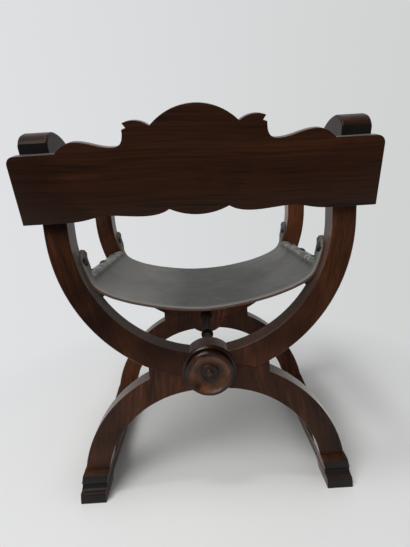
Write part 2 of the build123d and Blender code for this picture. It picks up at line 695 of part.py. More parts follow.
def seat_section(over_frames):
    """Section of the leather, with both sides alike."""
    with BuildSketch() as section:
        with BuildLine():
            seat_line(over_frames)
            mirror(about=Plane.YZ)
        trace(line_width=LEATHER_THICKNESS)
    return section.sketch


def leather_seat():
    """The sling, its folds over the rails and its four round-ended tabs, holed for the nails."""
    fold_end = frame_inner - 2 * SLIDING_GAP
    with BuildPart() as leather:
        slab(seat_section(False), -fold_end, fold_end)
        for face in FACES.values():
            slab(seat_section(True), face * fold_end, face * leather_half_depth)
        nail_height = tab_nail_plane(1, 1).origin.Z
        tab_ends = leather.edges().filter_by_position(Axis.Z, nail_height, SPRING_HEIGHT)
        fillet(tab_ends.filter_by(is_across_leather), radius=TAB_END_RADIUS)
        hole_radius = NAIL_SHANK_RADIUS + SLIDING_GAP
        for side in SIDES.values():
            planes = [tab_nail_plane(side, face) for face in FACES.values()]
            planes += [rail_nail_plane(side, depth) for depth in rail_nail_depths]
            with Locations(planes):
                Cylinder(hole_radius, 2 * LEATHER_THICKNESS, align=STANDING, mode=Mode.SUBTRACT)
    return leather


def is_across_leather(edge):
    """True on an edge that runs through the leather's thickness."""
    return abs(edge.length - LEATHER_THICKNESS) < LEATHER_THICKNESS / 10


def dome_nail():
    """A dome-headed nail, driven along +Z, with the flat underside of its head at the origin."""
    with BuildPart() as nail:
        with BuildSketch(Plane.XZ):
            with BuildLine():
                tip_start = NAIL_SHANK_LENGTH - 2 * NAIL_SHANK_RADIUS
                Polyline(
                    (0, -NAIL_HEAD_HEIGHT),
                    (0, NAIL_SHANK_LENGTH - PEG_CLEARANCE),
                    (NAIL_SHANK_RADIUS, tip_start),
                    (NAIL_SHANK_RADIUS, 0),
                    (NAIL_HEAD_RADIUS, 0),
                )
                dome_radius = (NAIL_HEAD_RADIUS**2 + NAIL_HEAD_HEIGHT**2) / (2 * NAIL_HEAD_HEIGHT)
                RadiusArc((NAIL_HEAD_RADIUS, 0), (0, -NAIL_HEAD_HEIGHT), dome_radius)
            make_face()
        revolve(axis=Axis.Z)
    return nail.part


nail = dome_nail()


def nails(planes):
    """Dome nails driven along the normals of these planes."""
    with BuildPart() as driven:
        with Locations(planes):
            add(nail)
    return driven


# ------------------------------------------------------------------ pivot
def turning_plane(face):
    """Plane for a profile turned about the pivot: local x runs out from the frame's face."""
    origin = (0, face * (frame_outer + SLIDING_GAP), HUB_HEIGHT)
    return Plane(origin=origin, x_dir=(0, face, 0), z_dir=(face, 0, 0))


def stretcher():
    """Turned stretcher with a ring at mid-length. Its ends are the axles, inside the hubs."""
    shoulder = frame_inner - SLIDING_GAP
    axle_end = frame_outer + SLIDING_GAP + ROUNDEL_SOCKET_DEPTH
    ring_end = RING_WIDTH / 2
    collar_end = ring_end + RING_COLLAR_WIDTH
    flare_start = shoulder - SHOULDER_COLLAR_WIDTH - SHOULDER_FLARE
    flare_end = shoulder - SHOULDER_COLLAR_WIDTH
    with BuildPart() as turned:
        with BuildSketch(Plane(origin=(0, 0, HUB_HEIGHT), x_dir=(0, 1, 0), z_dir=(1, 0, 0))):
            with BuildLine():
                EllipticalCenterArc(
                    (0, RING_COLLAR_RADIUS), ring_end, RING_RADIUS - RING_COLLAR_RADIUS, arc_size=90
                )
                Polyline(
                    (ring_end, RING_COLLAR_RADIUS),
                    (collar_end, RING_COLLAR_RADIUS),
                    (collar_end, NECK_RADIUS),
                    (flare_start, NECK_RADIUS),
                )
                Spline((flare_start, NECK_RADIUS), (flare_end, SHOULDER_RADIUS), tangents=((1, 0), (1, 1)))
                Polyline(
                    (flare_end, SHOULDER_RADIUS),
                    (shoulder, SHOULDER_RADIUS),
                    (shoulder, AXLE_RADIUS),
                    (axle_end, AXLE_RADIUS),
                    (axle_end, 0),
                    (0, 0),
                )
                mirror(about=Plane.YZ)
            make_face()
        revolve(axis=pivot_axis)
    return turned


def roundel(face):
    """Turned boss that caps the axle: flange, cove, rim, and a dished face with a ring."""
    flange_edge = ROUNDEL_FLANGE_THICKNESS / 2
    rim_back = ROUNDEL_PROJECTION - ROUNDEL_RIM_THICKNESS
    rim_round = ROUNDEL_PROJECTION - ROUNDEL_RIM_EASE
    floor = ROUNDEL_PROJECTION - ROUNDEL_DISH_DEPTH
    dish_middle = (ROUNDEL_DISH_RADIUS + ROUNDEL_RING_RADIUS) / 2
    ring_half = ROUNDEL_RING_WIDTH / 2
    cove_root = ROUNDEL_RIM_RADIUS - ROUNDEL_RIM_EASE
    cove_throat = ((ROUNDEL_FLANGE_THICKNESS + rim_back) / 2, cove_root - ROUNDEL_COVE_DEPTH)
    with BuildPart() as boss:
        with BuildSketch(turning_plane(face)):
            with BuildLine():
                Polyline(
                    (ROUNDEL_SOCKET_DEPTH, 0),
                    (ROUNDEL_SOCKET_DEPTH, axle_bore_radius),
                    (0, axle_bore_radius),
                    (0, ROUNDEL_FLANGE_RADIUS),
                    (flange_edge, ROUNDEL_FLANGE_RADIUS),
                    (ROUNDEL_FLANGE_THICKNESS, ROUNDEL_FLANGE_RADIUS - flange_edge),
                    (ROUNDEL_FLANGE_THICKNESS, cove_root),
                )
                ThreePointArc((ROUNDEL_FLANGE_THICKNESS, cove_root), cove_throat, (rim_back, cove_root))
                Polyline(
                    (rim_back, cove_root),
                    (rim_back, ROUNDEL_RIM_RADIUS),
                    (rim_round, ROUNDEL_RIM_RADIUS),
                    (ROUNDEL_PROJECTION, cove_root),
                    (ROUNDEL_PROJECTION, ROUNDEL_DISH_RADIUS),
                )
                ThreePointArc(
                    (ROUNDEL_PROJECTION, ROUNDEL_DISH_RADIUS),
                    (floor - ROUNDEL_DISH_SAG, dish_middle),
                    (floor, ROUNDEL_RING_RADIUS + ring_half),
                )
                ThreePointArc(
                    (floor, ROUNDEL_RING_RADIUS + ring_half),
                    (floor + ring_half, ROUNDEL_RING_RADIUS),
                    (floor, ROUNDEL_RING_RADIUS - ring_half),
                )
                Polyline(
                    (floor, ROUNDEL_RING_RADIUS - ring_half),
                    (floor, BUTTON_SHANK_RADIUS + PEG_CLEARANCE),
                    (floor - BUTTON_SHANK_LENGTH, BUTTON_SHANK_RADIUS + PEG_CLEARANCE),
                    (floor - BUTTON_SHANK_LENGTH, 0),
                    (ROUNDEL_SOCKET_DEPTH, 0),
                )
            make_face()
        revolve(axis=pivot_axis)
    return boss


def roundel_button(face):
    """Domed plug in the middle of a roundel's face."""
    floor = ROUNDEL_PROJECTION - ROUNDEL_DISH_DEPTH
    with BuildPart() as button:
        with BuildSketch(turning_plane(face)):
            with BuildLine():
                Polyline(
                    (floor + BUTTON_HEIGHT, 0),
                    (floor - BUTTON_SHANK_LENGTH, 0),
                    (floor - BUTTON_SHANK_LENGTH, BUTTON_SHANK_RADIUS),
                    (floor, BUTTON_SHANK_RADIUS),
                    (floor, BUTTON_RADIUS),
                )
                EllipticalCenterArc((floor, 0), BUTTON_HEIGHT, BUTTON_RADIUS, arc_size=90)
            make_face()
        revolve(axis=pivot_axis)
    return button


# ------------------------------------------------------------------ back board
def board_outline():
    """The board's shape on its own plane: two scrolls and a crest above, a lobe below."""
    crest_centre = BOARD_CREST_HEIGHT - CREST_RADIUS
    crest_foot_up = crest_centre + sqrt(CREST_RADIUS**2 - CREST_HALF_WIDTH**2)
    end_top = (board_half_width - BOARD_END_TAPER, BOARD_END_HEIGHT)
    scroll_foot = (SCROLL_OUT + SCROLL_SHOULDER, BOARD_END_HEIGHT)
    scroll_top = (SCROLL_OUT, BOARD_END_HEIGHT + SCROLL_RISE)
    scroll_side = (
        SCROLL_OUT + SCROLL_SHOULDER * SCROLL_FULLNESS,
        BOARD_END_HEIGHT + SCROLL_RISE * SCROLL_FULLNESS,
    )
    valley = (VALLEY_OUT, BOARD_END_HEIGHT + VALLEY_RISE)
    notch_top = (valley[0] - NOTCH_SWEEP, valley[1] + NOTCH_RISE)
    notch_root = (notch_top[0] - NOTCH_DEPTH, notch_top[1] + NOTCH_SKEW)
    tip = (notch_top[0] - NOTCH_SKEW, notch_top[1] + TIP_RISE)
    tip_to_crest = ((tip[0] + CREST_HALF_WIDTH) / 2, (tip[1] + crest_foot_up) / 2 + TIP_CROWN)
    lobe_centre = LOBE_RADIUS + LOBE_UP
    lobe_foot = (LOBE_HALF_WIDTH, lobe_centre - sqrt(LOBE_RADIUS**2 - LOBE_HALF_WIDTH**2))
    with BuildSketch(board_plane) as outline:
        with BuildLine():
            RadiusArc((0, LOBE_UP), lobe_foot, -LOBE_RADIUS)
            Spline(
                lobe_foot,
                (WAVE_LOW_OUT, WAVE_LOW_UP),
                (WAVE_HIGH_OUT, WAVE_HIGH_UP),
                (WAVE_END_OUT, 0),
                tangents=((1, WAVE_START_SLOPE), (1, 0)),
            )
            Line((WAVE_END_OUT, 0), (board_half_width, 0))
            FilletPolyline((board_half_width, 0), end_top, scroll_foot, radius=BOARD_CORNER_RADIUS)
            ThreePointArc(scroll_foot, scroll_side, scroll_top)
            Spline(scroll_top, valley, tangents=((-1, 0), (-1, 0)))
            Spline(valley, notch_top, tangents=((-1, 0), (0, 1)))
            Polyline(notch_top, notch_root, tip)
            ThreePointArc(tip, tip_to_crest, (CREST_HALF_WIDTH, crest_foot_up))
            RadiusArc((CREST_HALF_WIDTH, crest_foot_up), (0, BOARD_CREST_HEIGHT), -CREST_RADIUS)
            mirror(about=Plane.YZ)
        make_face()
    return outline.sketch


def peg_slots():
    """Slots for the board's pegs: rounded on top, open below and flared towards the middle."""
    radius = BOARD_PEG_RADIUS + SLIDING_GAP
    flare = radians(BOARD_SLOT_FLARE)
    below = BOARD_PEG_RADIUS
    with BuildSketch(board_plane.offset(BOARD_THICKNESS - BOARD_SLOT_DEPTH)) as slots:
        for side in SIDES.values():
            wall_top = (board_peg_out - radius * cos(flare), BOARD_PEG_UP + radius * sin(flare))
            wall_run = (wall_top[1] + below) * tan(flare)
            corners = (
                (board_peg_out + radius, BOARD_PEG_UP),
                (board_peg_out + radius, -below),
                (wall_top[0] - wall_run, -below),
                wall_top,
            )
            Polygon([(side * out, up) for out, up in corners], align=None)
            with Locations((side * board_peg_out, BOARD_PEG_UP)):
                Circle(radius)
    return slots.sketch


def board():
    """The back board, with blind slots for its pegs in its front face."""
    with BuildPart() as panel:
        extrude(board_outline(), amount=BOARD_THICKNESS)
        extrude(peg_slots(), amount=BOARD_SLOT_DEPTH, mode=Mode.SUBTRACT)
    return panel


# ------------------------------------------------------------------ the whole chair
for face_name, face in FACES.items():
    for side_name, side in SIDES.items():
        save(s_member(side, face), f"{face_name}_{side_name}_member")
    save(roundel(face), f"{face_name}_roundel")
    save(roundel_button(face), f"{face_name}_roundel_button")

for side_name, side in SIDES.items():
    save(arm(side), f"{side_name}_arm")
    save(runner(side), f"{side_name}_runner")
    save(seat_rail(side), f"{side_name}_seat_rail")
    save(arm_pegs(side), f"{side_name}_arm_pegs")
    save(runner_pegs(side), f"{side_name}_runner_pegs")
    save(board_hanging_peg(side), f"{side_name}_board_peg")
    save(nails([tab_nail_plane(side, face) for face in FACES.values()]), f"{side_name}_tab_nails")
    save(nails([rail_nail_plane(side, depth) for depth in rail_nail_depths]), f"{side_name}_rail_nails")

save(stretcher(), "pivot_stretcher")
save(leather_seat(), "seat_leather")
save(board(), "back_board")
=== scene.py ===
"""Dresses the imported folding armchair: stained and waxed wood, a slung leather seat, iron nails and
a plain studio.

Run as a script inside Blender. Metres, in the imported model's own frame: +Z is up, +Y the chair's back,
+X the sitter's left, and the floor is z = 0.
"""

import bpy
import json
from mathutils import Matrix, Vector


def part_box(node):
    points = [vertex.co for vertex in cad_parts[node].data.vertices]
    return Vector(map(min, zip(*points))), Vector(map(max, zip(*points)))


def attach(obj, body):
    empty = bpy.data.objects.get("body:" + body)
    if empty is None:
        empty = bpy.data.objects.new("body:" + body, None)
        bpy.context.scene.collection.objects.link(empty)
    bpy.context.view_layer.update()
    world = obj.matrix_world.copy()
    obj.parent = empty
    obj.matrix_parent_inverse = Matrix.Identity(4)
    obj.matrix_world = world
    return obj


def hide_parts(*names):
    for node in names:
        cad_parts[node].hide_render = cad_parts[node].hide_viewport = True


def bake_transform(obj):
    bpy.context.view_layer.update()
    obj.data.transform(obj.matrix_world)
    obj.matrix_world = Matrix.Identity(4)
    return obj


bl_info = {
    "name": "Savonarola Chair",
    "version": (1, 0, 0),
    "blender": (4, 5, 0),
    "location": "3D View > Sidebar > Chair",
    "description": "Builds the leather sling, the wood finishes and the studio of a folding armchair",
    "category": "Object",
}

import json
import math

import bpy
from bpy.props import FloatProperty, FloatVectorProperty, IntProperty, PointerProperty
from bpy.types import Operator, Panel, PropertyGroup
from mathutils import Matrix, Vector, noise

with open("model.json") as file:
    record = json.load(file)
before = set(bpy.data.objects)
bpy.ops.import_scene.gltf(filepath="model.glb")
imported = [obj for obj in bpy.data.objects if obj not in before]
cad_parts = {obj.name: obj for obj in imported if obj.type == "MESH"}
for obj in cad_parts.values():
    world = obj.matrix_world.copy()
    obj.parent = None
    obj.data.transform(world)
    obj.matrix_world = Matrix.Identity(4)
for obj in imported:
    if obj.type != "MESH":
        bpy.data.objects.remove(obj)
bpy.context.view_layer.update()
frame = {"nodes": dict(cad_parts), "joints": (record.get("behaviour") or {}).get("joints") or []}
NODES = frame["nodes"]

SIDES = {"left": 1, "right": -1}
FACES = {"rear": 1, "front": -1}
LEG_BODIES = {"left": "right_side", "right": "left_side"}  # a member's leg stands on the other side


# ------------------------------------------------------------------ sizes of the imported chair
# Some are rounded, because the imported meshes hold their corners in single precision.
PIVOT_HEIGHT = next(joint for joint in frame["joints"] if joint["name"] == "left_fold")["pos_m"][2]
FRAME_INNER, FRAME_OUTER = (round(corner.y, 5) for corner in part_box("rear_left_member"))
UPRIGHT_INNER = round(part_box("left_arm")[0].x, 5)  # the arms lie flush with the uprights inside
RUNNER_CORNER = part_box("left_runner")[1]
RAIL_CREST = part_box("left_seat_rail")[1].z
HIDE_LOWEST = round(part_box("seat_leather")[0].z, 5)
HALF_DEPTH = round(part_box("seat_leather")[1].y, 5)
PACKED_THICKNESS = 0.006

# The arcs' inner edge is a circle. Angles on it are measured down from the springing.
SPRING_HEIGHT = 0.641  # the arcs end and the straight uprights start here
ARC_ABOVE_PIVOT = 0.0401  # the circle's lowest point, over the pivot's axis
ARC_RADIUS = SPRING_HEIGHT - PIVOT_HEIGHT - ARC_ABOVE_PIVOT
ARC_CENTRE = Vector((UPRIGHT_INNER - ARC_RADIUS, SPRING_HEIGHT))  # out and up
LIFT_OFF = math.radians(23.2)  # where the sling leaves the arcs
RAIL_TOP = math.radians(20.6)
RAIL_ROUND = 0.004
PARTING = RAIL_TOP + math.asin(RAIL_ROUND / (ARC_RADIUS + RAIL_ROUND))  # tab and fold part here
TAB_NAIL = math.radians(12.9)
TAB_TOP = math.radians(7.4)

SLING_MIDDLE = Vector((0.0, HIDE_LOWEST + PACKED_THICKNESS / 2))
WOOD_GAP = 0.0003  # between hide and wood
FOLD_RUN = 0.020  # hide turned over the rail
FOLD_HALF_DEPTH = FRAME_INNER - 0.0006
SLIT = 0.0014  # between a tab and the fold
TAB_ROUND = 0.012


# ------------------------------------------------------------------ what a user may change
def colour(name, description, default):
    """A colour property, in linear light."""
    return FloatVectorProperty(
        name=name, description=description, default=default, subtype="COLOR", min=0, max=1
    )


def length(name, description, default):
    """A length property, in metres."""
    return FloatProperty(
        name=name, description=description, default=default, unit="LENGTH", subtype="DISTANCE", min=0
    )


class ChairWoodSettings(PropertyGroup):
    """Colours and roughness of the woods."""

    shade: colour("Shade", "Darkest tone of the stained wood", (0.0120, 0.0042, 0.0019))
    body: colour("Body", "Main tone of the stained wood", (0.0450, 0.0150, 0.0058))
    streak: colour("Streak", "Warm tone between the grain's bands", (0.1500, 0.0450, 0.0130))
    ebony: colour("Ebonised", "Tone of the blackened ends", (0.0085, 0.0075, 0.0070))
    turned: colour("Turned", "Main tone of the turned pieces", (0.0680, 0.0225, 0.0075))
    roughness: FloatProperty(
        name="Roughness", description="Roughness of the waxed surface", default=0.34, min=0, max=1
    )


class ChairLeatherSettings(PropertyGroup):
    """Sizes and colours of the sling."""

    hide: colour("Hide", "Worn grey of the leather's face", (0.114, 0.110, 0.101))
    # the darker tone of the hide's clouds, and the painted shade in the sling's middle and in the crease
    # under each fold
    hide_dark_and_painted_shade: colour("Hide, dark", "Tone of the hollow that is sat in", (0.017, 0.0165, 0.0148))
    raw: colour("Cut edge", "Brown of the leather's cut edges", (0.105, 0.056, 0.038))
    thickness: length("Thickness", "Thickness of the hide", 0.0062)
    droop: length("Droop", "How much lower the sling's rear edge hangs than its middle", 0.0055)
    lumps: length("Lumps", "Height of the unevenness along the rails and tabs", 0.0013)
    curl: length("Curl", "How far the tabs' ends stand off the wood", 0.0030)
    lean: length("Lean", "How much further a tab's front edge stands off than its rear one", 0.0065)


class ChairMetalSettings(PropertyGroup):
    """Colours of the nails."""

    iron: colour("Iron", "Tone of the blackened nail heads", (0.018, 0.020, 0.019))
    rubbed: colour("Rubbed iron", "Tone where the heads are rubbed bright", (0.075, 0.078, 0.072))


class ChairStudioSettings(PropertyGroup):
    """Camera, floor, wall and the light from all round."""

    pitch: FloatProperty(
        name="Pitch", description="Camera's angle below level", default=math.radians(12.9), subtype="ANGLE"
    )
    yaw: FloatProperty(
        name="Yaw", description="Camera's turn from square on", default=math.radians(-0.2), subtype="ANGLE"
    )
    roll: FloatProperty(
        name="Roll", description="Camera's lean", default=math.radians(-3.5), subtype="ANGLE"
    )
    place: FloatVectorProperty(
        name="Place",
        description="Camera's place",
        default=(-0.0006, 0.9554, 0.7144),
        subtype="TRANSLATION",
    )
    lens: FloatProperty(name="Lens", description="Focal length in millimetres", default=23.69, min=1)
    floor: colour("Floor", "Colour of the floor", (0.72, 0.72, 0.715))
    backdrop: colour("Backdrop", "Colour of the wall behind, on its brighter side", (0.755, 0.765, 0.785))
    dimmer: colour("Backdrop, dim", "Colour of the wall behind, on its dimmer side", (0.620, 0.635, 0.630))
    unlit: colour("Unlit", "Colour of the room behind the camera", (0.030, 0.029, 0.028))
    ambient: FloatProperty(name="Ambient", description="Light from all round", default=0.42, min=0)


# ------------------------------------------------------------------ shared steps
def clear_selection():
    """Nothing is selected and nothing is active."""
    bpy.ops.object.select_all(action="DESELECT")
    bpy.context.view_layer.objects.active = None


def pick(piece):
    """Only this piece is selected, and it is active."""
    clear_selection()
    piece.select_set(True)
    bpy.context.view_layer.objects.active = piece


def join(pieces):
    """Joins pieces into one and gives it back."""
    clear_selection()
    for piece in pieces:
        piece.select_set(True)
    bpy.context.view_layer.objects.active = pieces[0]
    bpy.ops.object.join()
    return bpy.context.object


def finish_with(piece, kind, **settings):
    """Adds a modifier with these settings and applies it."""
    pick(piece)
    modifier = piece.modifiers.new(kind.title(), kind)
    for name, value in settings.items():
        setattr(modifier, name, value)
    bpy.ops.object.modifier_apply(modifier=modifier.name)


def smooth(piece, angle):
    """Shades a piece smooth up to an angle in degrees."""
    pick(piece)
    bpy.ops.object.shade_smooth_by_angle(angle=math.radians(angle))


def eased_copy(node_name, piece_name, width, segments=2):
    """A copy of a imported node, merged to clean faces, whose edges are rounded over."""
    piece = bpy.data.objects.new(piece_name, NODES[node_name].data.copy())
    bpy.context.scene.collection.objects.link(piece)
    pick(piece)
    bpy.ops.object.mode_set(mode="EDIT")
    bpy.ops.mesh.select_all(action="SELECT")
    bpy.ops.mesh.remove_doubles(threshold=0.00001)
    bpy.ops.mesh.dissolve_limited(angle_limit=math.radians(0.4), delimit={"NORMAL"})
    bpy.ops.object.mode_set(mode="OBJECT")
    finish_with(
        piece, "BEVEL", width=width, segments=segments, limit_method="ANGLE", angle_limit=math.radians(30)
    )
    smooth(piece, 25)
    return piece


def dress(piece, material):
    """Gives a piece one material, in a new slot if it has none."""
    if piece.material_slots:
        for slot in piece.material_slots:
            slot.material = material
    else:
        piece.data.materials.append(material)


# ------------------------------------------------------------------ materials
class Maker:
    """Builds the nodes of a material or world, each placed and linked in a line of its own."""

    def __init__(self, owner):
        owner.use_nodes = True
        self.owner = owner
        self.tree = owner.node_tree

    def node(self, kind, inputs=(), **settings):
        """A node with its settings. An input is a value or another node's output."""
        made = self.tree.nodes.new("ShaderNode" + kind)
        for name, value in settings.items():
            setattr(made, name, value)
        for key, value in dict(inputs).items():
            self.feed(made.inputs[key], value)
        return made

    def feed(self, socket, value):
        """Links an output to a socket, or sets the socket's value."""
        if isinstance(value, bpy.types.NodeSocket):
            self.tree.links.new(value, socket)
        else:
            socket.default_value = value

    def finish(self, inputs):
        """Feeds these inputs of a material's main shader and gives the material back."""
        shader = self.tree.nodes["Principled BSDF"]
        for name, value in inputs.items():
            self.feed(shader.inputs[name], value)
        return self.owner

    def place(self):
        """Object coordinates."""
        return self.node("TexCoord").outputs["Object"]

    def axes(self, vector):
        """The three parts of a vector."""
        return self.node("SeparateXYZ", {0: vector}).outputs

    def facing(self):
        """The three parts of the direction in which a face looks."""
        return self.axes(self.node("TexCoord").outputs["Normal"])

    def math(self, operation, a, b=0.0, clamp=False):
        """One sum on numbers."""
        made = self.node("Math", {0: a, 1: b}, operation=operation, use_clamp=clamp)
        return made.outputs[0]

    def scaled(self, value, factor, offset=0.0):
        """A number times a factor, plus an offset."""
        made = self.node("Math", {0: value, 1: factor, 2: offset}, operation="MULTIPLY_ADD")
        return made.outputs[0]

    def distance(self, across, along):
        """How far a point lies from the middle, from its two parts."""
        squares = [self.math("MULTIPLY", part, part) for part in (across, along)]
        return self.math("SQRT", self.math("ADD", *squares))

    def stretched(self, turn, scale, source=None):
        """Coordinates turned, and then scaled along each axis."""
        turned = self.node("Mapping", {"Vector": source or self.place(), "Rotation": turn})
        return self.node("Mapping", {"Vector": turned.outputs[0], "Scale": scale}).outputs[0]

    def noise(self, vector, scale, detail=4.0, roughness=0.55, distortion=0.0):
        """Noise as a number from 0 to 1."""
        inputs = {
            "Vector": vector,
            "Scale": scale,
            "Detail": detail,
            "Roughness": roughness,
            "Distortion": distortion,
        }
        return self.node("TexNoise", inputs).outputs["Fac"]

    def cells(self, scale):
        """Round cells side by side, as a number that grows from their middles."""
        inputs = {"Vector": self.place(), "Scale": scale}
        return self.node("TexVoronoi", inputs, feature="SMOOTH_F1").outputs["Distance"]

    def ramp(self, value, *stops):
        """A number as colours at stops along it."""
        made = self.node("ValToRGB", {"Fac": value})
        elements = made.color_ramp.elements
        while len(elements) < len(stops):
            elements.new(0.5)
        for element, (position, tone) in zip(elements, stops):
            element.position = position
            element.color = (*tone, 1) if hasattr(tone, "__len__") else (tone, tone, tone, 1)
        return made.outputs["Color"]

    def mix(self, share, a, b):
        """Two colours mixed."""
        made = self.node("Mix", data_type="RGBA", blend_type="MIX")
        for socket, value in zip((made.inputs[0], made.inputs[6], made.inputs[7]), (share, a, b)):
            if not isinstance(value, bpy.types.NodeSocket) and hasattr(value, "__len__"):
                value = (*value[:3], 1)
            self.feed(socket, value)
        return made.outputs[2]

    def bump(self, height, strength, distance, below=None):
        """A bump, over another one if given."""
        inputs = {"Height": height, "Strength": strength, "Distance": distance}
        if below is not None:
            inputs["Normal"] = below
        return self.node("Bump", inputs).outputs["Normal"]

    def seen(self):
        """1 for what is seen, straight on, through something clear or mirrored."""
        path = self.node("LightPath").outputs
        looked_at = self.math("MAXIMUM", path["Is Camera Ray"], path["Is Transmission Ray"])
        return self.math("MAXIMUM", looked_at, path["Is Glossy Ray"])

    def wall(self, across, settings):
        """The wall's colour, from its dimmer to its brighter side."""
        return self.ramp(self.scaled(across, 0.8, 0.5), (0.0, settings.dimmer), (1.0, settings.backdrop))


def times(tone, factor):
    """A colour made lighter or darker."""
    return tuple(factor * part for part in tone)


def wood(
    name,
    settings,
    turn=(0, 0, 0),
    along="Z",
    lift=0.0,
    dullness=0.0,
    shine=0.14,
    sheen=0.55,
    even=0.0,
    blacken=None,
):
    """Stained and waxed wood whose grain runs along an axis after a turn.

    Lift makes it lighter, dullness rougher, and even calms its figure. Shine is the wax seen straight
    on and sheen the wax seen at a glance. Blacken is a function of the maker that marks black faces.
    """
    maker = Maker(bpy.data.materials.new(name))
    place = maker.place()
    wander = maker.noise(place, 3.0, detail=1.0)
    sway = maker.node("CombineXYZ", {0: maker.scaled(wander, 0.035), 2: maker.scaled(wander, 0.03)})
    bent = maker.node("VectorMath", {0: place, 1: sway.outputs[0]}, operation="ADD").outputs[0]

    def grain(across, lengthwise, detail, distortion=0.0):
        """Noise drawn out along the grain, at so many waves a metre each way."""
        scale = tuple(lengthwise if axis == along else across for axis in "XYZ")
        return maker.noise(maker.stretched(turn, scale, bent), 1.0, detail, 0.6, distortion)

    bands = grain(24, 1.7, 4.0, 0.35)
    streaks = grain(95, 3.0, 4.0, 0.2)
    lines = grain(210, 2.4, 2.0)
    pores = grain(420, 9, 2.0)
    clouds = maker.noise(place, 7.0, detail=2.0)
    stains = maker.noise(place, 6.0, detail=3.0, distortion=0.6)
    shade, body, streak = (times(c, 1 + lift) for c in (settings.shade, settings.body, settings.streak))
    streak = tuple(c + even * (d - c) for c, d in zip(streak, body))
    figure = maker.math("ADD", maker.scaled(bands, 0.5), maker.scaled(streaks, 0.5))
    tone = maker.ramp(figure, (0.36, shade), (0.47, body), (0.56, body), (0.74, streak))
    tone = maker.mix(maker.ramp(stains, (0.36, 0.8 - 0.5 * even), (0.56, 0.0)), tone, shade)
    tone = maker.mix(maker.ramp(lines, (0.48, 0.0), (0.64, 0.34)), tone, shade)
    tone = maker.mix(maker.ramp(pores, (0.50, 0.0), (0.72, 0.6)), tone, shade)
    if blacken is not None:
        black = maker.ramp(clouds, (0.35, settings.ebony), (0.8, times(settings.ebony, 2.2)))
        tone = maker.mix(blacken(maker), tone, black)
    swell = maker.bump(figure, 0.25, 0.0012)
    return maker.finish(
        {
            "Base Color": tone,
            "Roughness": maker.scaled(clouds, 0.16, settings.roughness - 0.06 + dullness),
            "Specular IOR Level": shine,
            "Sheen Weight": sheen,
            "Sheen Roughness": 0.30,
            "Sheen Tint": (1.0, 0.93, 0.87, 1),
            "Normal": maker.bump(pores, 0.22, 0.0003, swell),
        }
    )


def arm_flat(maker):
    """1 on the arms' sloping flats behind the uprights."""
    behind = maker.math("GREATER_THAN", maker.axes(maker.place())[1], FRAME_OUTER - 0.001)
    return maker.math("MULTIPLY", behind, maker.math("GREATER_THAN", maker.facing()[1], 0.93))


def runner_end(maker):
    """1 on the runners' moulded ends, up to the bevel over them."""
    parts = maker.axes(maker.place())
    far = maker.math("GREATER_THAN", maker.math("ABSOLUTE", parts[1]), RUNNER_CORNER.y - 0.0155)
    low = maker.math("LESS_THAN", parts[2], RUNNER_CORNER.z - 0.0065)
    end_on = maker.math("GREATER_THAN", maker.math("ABSOLUTE", maker.facing()[1]), 0.30)
    return maker.math("MULTIPLY", maker.math("MULTIPLY", far, low), end_on)


def turned_wood(name, settings):
    """Turned wood, black on its edge, with painted shade round its middle, warmer between and polished on
    its lip.
    """
    maker = Maker(bpy.data.materials.new(name))
    parts = maker.axes(maker.place())
    up = maker.math("SUBTRACT", parts[2], PIVOT_HEIGHT)
    out = maker.distance(parts[0], up)
    tenths = maker.scaled(out, 10)  # of a metre, so that a ramp's stops spread over the radius
    clouds = maker.noise(maker.place(), 26.0, detail=4.0)
    grain = maker.noise(maker.stretched((0, 0.5, 0), (150, 40, 10)), 1.0, detail=3.0)
    figure = maker.math("ADD", maker.scaled(clouds, 0.65), maker.scaled(grain, 0.35))
    dark, light = times(settings.turned, 0.25), times(settings.turned, 2.3)
    warm = maker.ramp(figure, (0.36, dark), (0.50, settings.turned), (0.66, light))
    # painted shade in the dish round the button, where the dish's curve turns from the light
    painted_dish_shade = ((0.03, 0.60), (0.07, 0.90), (0.20, 0.85), (0.28, 0.50))
    outer = ((0.36, 0.05), (0.43, 0.0), (0.46, 0.45), (0.51, 0.9))
    # the edge's black tone, and the painted shade in the dish
    black = maker.ramp(tenths, *painted_dish_shade, *outer)
    polish = maker.ramp(tenths, (0.30, 0.27), (0.38, 0.12), (0.47, 0.13))
    dusty = maker.ramp(maker.scaled(up, 10, 0.5), (0.30, 0.22), (0.60, 0.0))
    rings = maker.node("TexNoise", {"W": maker.scaled(out, 900)}, noise_dimensions="1D").outputs["Fac"]
    return maker.finish(
        {
            "Base Color": maker.mix(black, warm, times(settings.turned, 0.10)),
            "Roughness": maker.scaled(clouds, 0.15, maker.math("ADD", polish, dusty)),
            "Specular IOR Level": 0.36,
            "Normal": maker.bump(rings, 0.15, 0.0003, maker.bump(grain, 0.12, 0.0004)),
        }
    )


